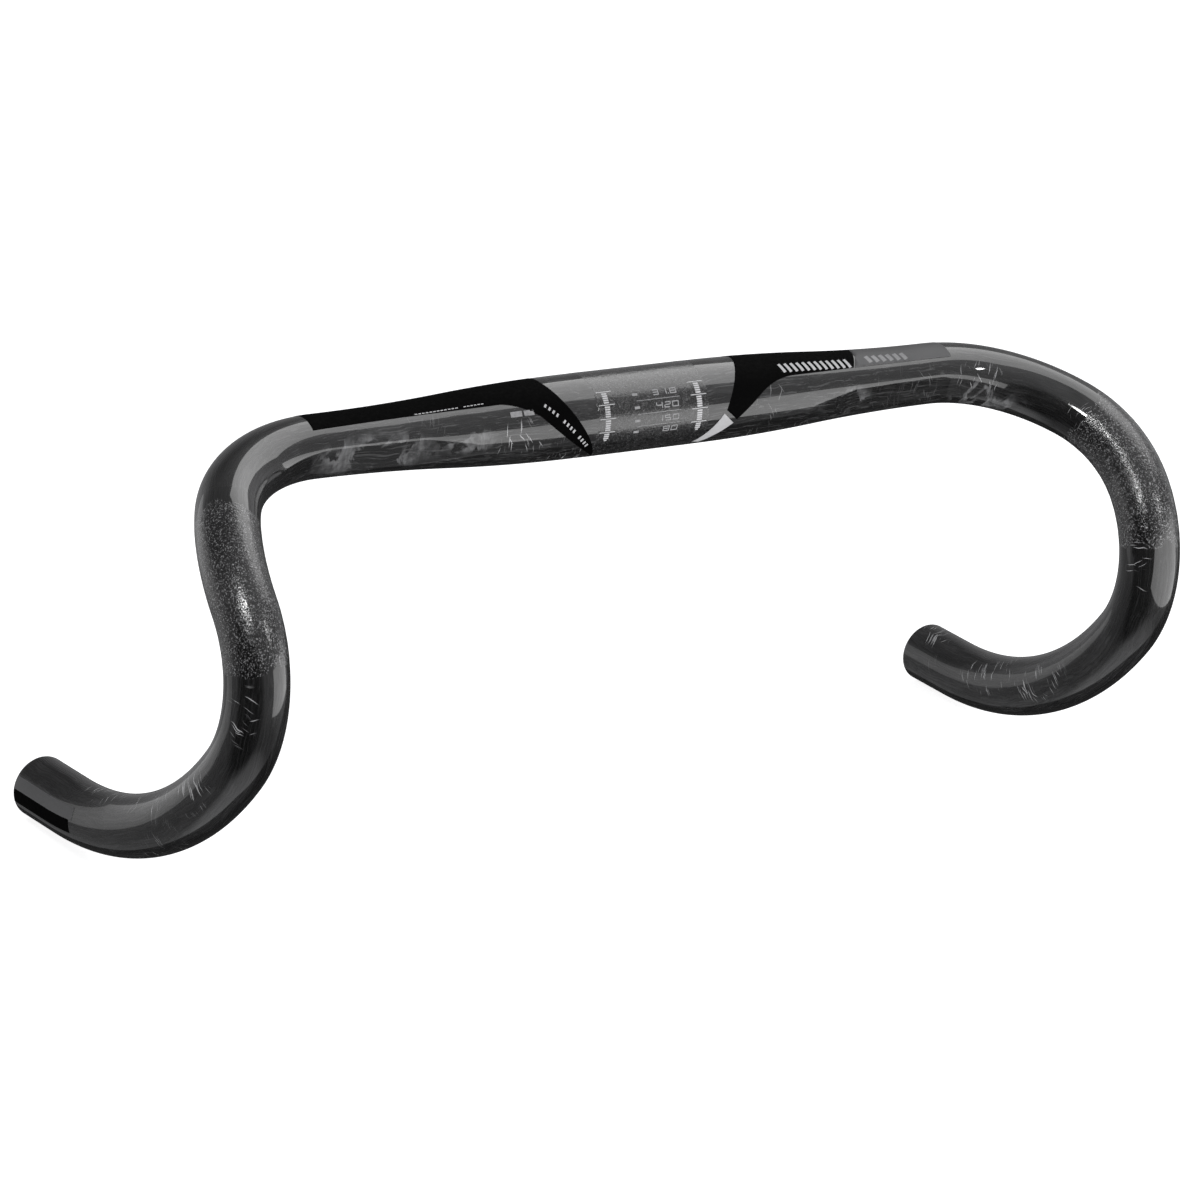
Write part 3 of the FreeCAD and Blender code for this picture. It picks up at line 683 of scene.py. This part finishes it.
def ink_piece(node, material):
    """Print as a fine mesh that lies truly round: the CAD print's own outline, cut finer,
    with its outside a layer above the carbon and its inside just under the carbon."""
    shape = bmesh.new()
    shape.from_mesh(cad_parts[node].data)
    bmesh.ops.remove_doubles(shape, verts=shape.verts, dist=0.001 * MM)
    share = shape.verts.layers.float.new("share")
    for vertex in shape.verts:
        s, angle, distance = place_on_bar(vertex.co)
        carbon = outer_radius(np.array(s), angle)
        vertex[share] = 1.0 if distance > carbon + LAYER / 2 else 0.0
    for _ in range(8):
        long = [e for e in shape.edges if e.calc_length() > INK_STEP]
        if not long:
            break
        bmesh.ops.subdivide_edges(shape, edges=long, cuts=1)
        bmesh.ops.triangulate(shape, faces=shape.faces)
    straight = np.zeros((len(shape.verts), 3))
    for i, vertex in enumerate(shape.verts):
        s, angle, _ = place_on_bar(vertex.co)
        lift = (1.4 * vertex[share] - 0.4) * LAYER
        r = float(outer_radius(np.array(s), angle)) + lift
        centre, top, front = on_centreline(s)
        vertex.co = centre + (top * math.cos(angle) + front * math.sin(angle)) * r
        straight[i] = (s, -r * math.sin(angle), r * math.cos(angle))
    shape.verts.layers.float.remove(share)
    mesh = bpy.data.meshes.new(node + "_ink")
    shape.to_mesh(mesh)
    shape.free()
    mesh.polygons.foreach_set("use_smooth", [True] * len(mesh.polygons))
    mesh.set_sharp_from_angle(angle=INK_CREASE)
    add_straight(mesh, straight)
    mesh.materials.clear()
    mesh.materials.append(material)
    piece = bpy.data.objects.new(node + "_ink", mesh)
    bpy.context.scene.collection.objects.link(piece)
    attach(piece, "root")
    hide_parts(node)


def give(nodes, material):
    for name in nodes:
        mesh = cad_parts[name].data
        mesh.materials.clear()
        mesh.materials.append(material)


# slot, ink, nodes, and the ink's lightness, roughness, gloss and mottle
PRINTS = [
    ("black_print", "black_ink", ["right_black_decal", "left_black_decal",
                                  "left_end_black_stripe", "right_end_black_stripe"],
     (0.0006, 0.6, 0.02, 0.4)),
    ("grey_print", "grey_ink", ["left_grey_decal", "left_end_grey_stripe",
                                "right_end_grey_stripe"], (0.075, 0.4, 0.1, 0.08)),
    ("silver_print", "silver_ink", ["left_silver_accent", "left_decal_stripes",
                                    "right_decal_marks"], (0.34, 0.35, 0.2, 0.08)),
    ("pale_print", "scale_ink", ["right_rotation_scale", "left_rotation_scale"],
     (0.38, 0.5, 0.2, 0.15)),
    ("pale_print", "label_ink", ["size_label"], (0.22, 0.5, 0.2, 0.2)),
    ("pale_print", "badge_ink", ["left_panel_bars", "right_front_badge"],
     (0.20, 0.5, 0.2, 0.25)),
]


def build_bar():
    carbon = carbon_material()
    inside = bore_material()
    cut = cut_end_material()
    centre_piece(carbon, inside)
    fine_grit = grit_material("fine_grit_coat", 0.06 * MM, 0.050, 0.16)
    grit = grit_material("lever_grit_coat", 0.10 * MM, 0.15, 0.10)
    coat_sleeve("clamp_grit", "clamp_grip_coat", -COAT_HALF, COAT_HALF, CLAMP_RADIUS,
                1.2 * MM, fine_grit, 3)
    ramp_radius, hook_radius = BENDS[1][1], BENDS[2][1]
    coat_start = MARK["shoulder"] + ramp_radius * COAT_IN_RAMP
    coat_end = MARK["ramp"] + hook_radius * COAT_IN_HOOK
    for side, sign, seed in (("left", 1, 5), ("right", -1, 7)):
        drop_piece(side, sign, carbon, inside, cut)
        coat_sleeve(side + "_lever_grit", side + "_lever_grip_coat", sign * coat_start,
                    sign * coat_end, TUBE_RADIUS, 6 * MM, grit, seed)
    for slot, name, nodes, ink in PRINTS:
        material = print_material(name, *ink)
        for node in nodes:
            ink_piece(node, material)
    give(["left_bond_line", "right_bond_line"], epoxy_material())


# ---------------------------------------------------------------- studio

def direction(elevation, azimuth):
    """Unit vector; azimuth is counted from the front (-Y) towards the rider's left (+X)."""
    e, a = math.radians(elevation), math.radians(azimuth)
    return Vector((math.cos(e) * math.sin(a), -math.cos(e) * math.cos(a), math.sin(e)))


# name, direction, distance, width, height, radiance and outline of each light
LIGHTS = [
    ("upper_right", (52, 108), 1.0, 1.05, 0.75, 2.5, "RECTANGLE"),
    ("front_right", (-7, 36), 0.44, 0.60, 0.27, 2.6, "RECTANGLE"),
    ("left_wide", (-13, -143), 1.2, 1.2, 0.66, 0.50, "RECTANGLE"),
    ("left_upper", (40, -57), 1.2, 0.12, 0.26, 50.0, "ELLIPSE"),
    ("front_upper", (38, 25), 2.0, 0.14, 0.24, 45.0, "ELLIPSE"),
]


def softbox(name, towards, distance, width, height, radiance, shape):
    """Flat light that faces the bar."""
    light = bpy.data.lights.new(name, "AREA")
    light.shape = shape
    light.size = width
    light.size_y = height
    light.energy = radiance * math.pi * width * height
    lamp = bpy.data.objects.new(name, light)
    away = direction(*towards)
    turn = away.to_track_quat("Z", "Y").to_matrix()
    lamp.matrix_world = Matrix.Translation(away * distance) @ turn.to_4x4()
    lamp.visible_camera = False
    bpy.context.scene.collection.objects.link(lamp)


# brightness of the surroundings by height (sine of the elevation)
SKY = [(-1.0, 0.30), (-0.75, 0.26), (-0.45, 0.30), (-0.2, 0.52), (0.5, 0.52), (0.85, 0.80),
       (1.0, 0.95)]
# parts of the room that differ: direction, cosines where one ends and where it is full, and
# its brightness as a share of the rest
ROOM_PARTS = [
    ((-70, 5), 0.80, 0.95, 3.2),
    ((-48, 115), 0.735, 0.755, 0.12),
    ((-10, -52), 0.62, 0.82, 0.14),
    ((52, -158), 0.60, 0.85, 0.42),
    ((8, 152), 0.82, 0.94, 0.50),
]


def studio_world():
    """Studio round the bar: pale above, dark in front and below on the left side, dimmer
    behind, and plain white for the camera."""
    world = bpy.data.worlds.new("studio")
    world.use_nodes = True
    nodes, links = world.node_tree.nodes, world.node_tree.links
    nodes.clear()
    output = nodes.new("ShaderNodeOutputWorld")
    coordinate = nodes.new("ShaderNodeTexCoord")
    above = nodes.new("ShaderNodeSeparateXYZ")
    height = nodes.new("ShaderNodeMapRange")
    ramp = nodes.new("ShaderNodeValToRGB")
    light = nodes.new("ShaderNodeBackground")
    backdrop = nodes.new("ShaderNodeBackground")
    path = nodes.new("ShaderNodeLightPath")
    mix = nodes.new("ShaderNodeMixShader")
    height.inputs["From Min"].default_value = -1
    height.inputs["From Max"].default_value = 1
    stops = ramp.color_ramp.elements
    for i, (level, amount) in enumerate(SKY):
        place = (level + 1) / 2
        stop = stops[i] if i < 2 else stops.new(place)
        stop.position, stop.color = place, grey(amount)
    backdrop.inputs["Color"].default_value = (1, 1, 1, 1)
    links.new(coordinate.outputs["Generated"], above.inputs[0])
    links.new(above.outputs[2], height.inputs["Value"])
    links.new(height.outputs[0], ramp.inputs[0])
    links.new(ramp.outputs[0], light.inputs["Color"])
    strength = None
    for towards, end, full, amount in ROOM_PARTS:
        facing = nodes.new("ShaderNodeVectorMath")
        facing.operation = "DOT_PRODUCT"
        facing.inputs[1].default_value = direction(*towards)
        share = nodes.new("ShaderNodeMapRange")
        share.interpolation_type = "SMOOTHSTEP"
        share.inputs["From Min"].default_value = end
        share.inputs["From Max"].default_value = full
        share.inputs["To Min"].default_value = 1.0
        share.inputs["To Max"].default_value = amount
        links.new(coordinate.outputs["Generated"], facing.inputs[0])
        links.new(facing.outputs["Value"], share.inputs["Value"])
        if strength is None:
            strength = share.outputs[0]
            continue
        both = nodes.new("ShaderNodeMath")
        both.operation = "MULTIPLY"
        links.new(strength, both.inputs[0])
        links.new(share.outputs[0], both.inputs[1])
        strength = both.outputs[0]
    links.new(strength, light.inputs["Strength"])
    links.new(path.outputs["Is Camera Ray"], mix.inputs[0])
    links.new(light.outputs[0], mix.inputs[1])
    links.new(backdrop.outputs[0], mix.inputs[2])
    links.new(mix.outputs[0], output.inputs["Surface"])
    bpy.context.scene.world = world


FLOOR_SIZE = 12.0
FLOOR_GAP = 0.2 * MM
PAPER_GLOW = 0.88


def floor():
    """Pale paper just under the bar, lit so that it stays plain behind it."""
    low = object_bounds()[0]
    bpy.ops.mesh.primitive_plane_add(size=FLOOR_SIZE, location=(0, 0, low[2] - FLOOR_GAP))
    plane = bpy.context.object
    plane.name = "studio_floor"
    g = Graph("pale_floor")
    paper = g.noise(g.placed(), 800, 2.0)
    g.surface(Base_Color=g.mix(paper, grey(0.34), grey(0.38)), Roughness=0.8,
              Specular_IOR_Level=0.1, Emission_Color=(1, 1, 1, 1), Emission_Strength=PAPER_GLOW)
    plane.data.materials.append(g.material)
    plane.visible_glossy = False


def camera():
    """Long lens, from above the rider's right front."""
    azimuth, elevation, roll = -39.202, 24.531, 10.717
    distance, aside, above = 2.33866, 11.005 * MM, 71.656 * MM
    back = direction(elevation, azimuth)
    right = Vector((0, 0, 1)).cross(back).normalized()
    up = back.cross(right)
    turn = Matrix.Rotation(math.radians(roll), 3, back)
    right, up = turn @ right, turn @ up
    data = bpy.data.cameras.new("camera")
    data.lens = 187.17
    data.sensor_width = 36
    data.clip_end = 50
    view = bpy.data.objects.new("camera", data)
    place = back * distance - right * aside - up * above
    view.matrix_world = Matrix.Translation(place) @ Matrix((right, up, back)).transposed().to_4x4()
    bpy.context.scene.collection.objects.link(view)
    bpy.context.scene.camera = view


build_bar()
floor()
studio_world()
for light in LIGHTS:
    softbox(*light)
camera()
bpy.context.scene.view_settings.view_transform = "Standard"
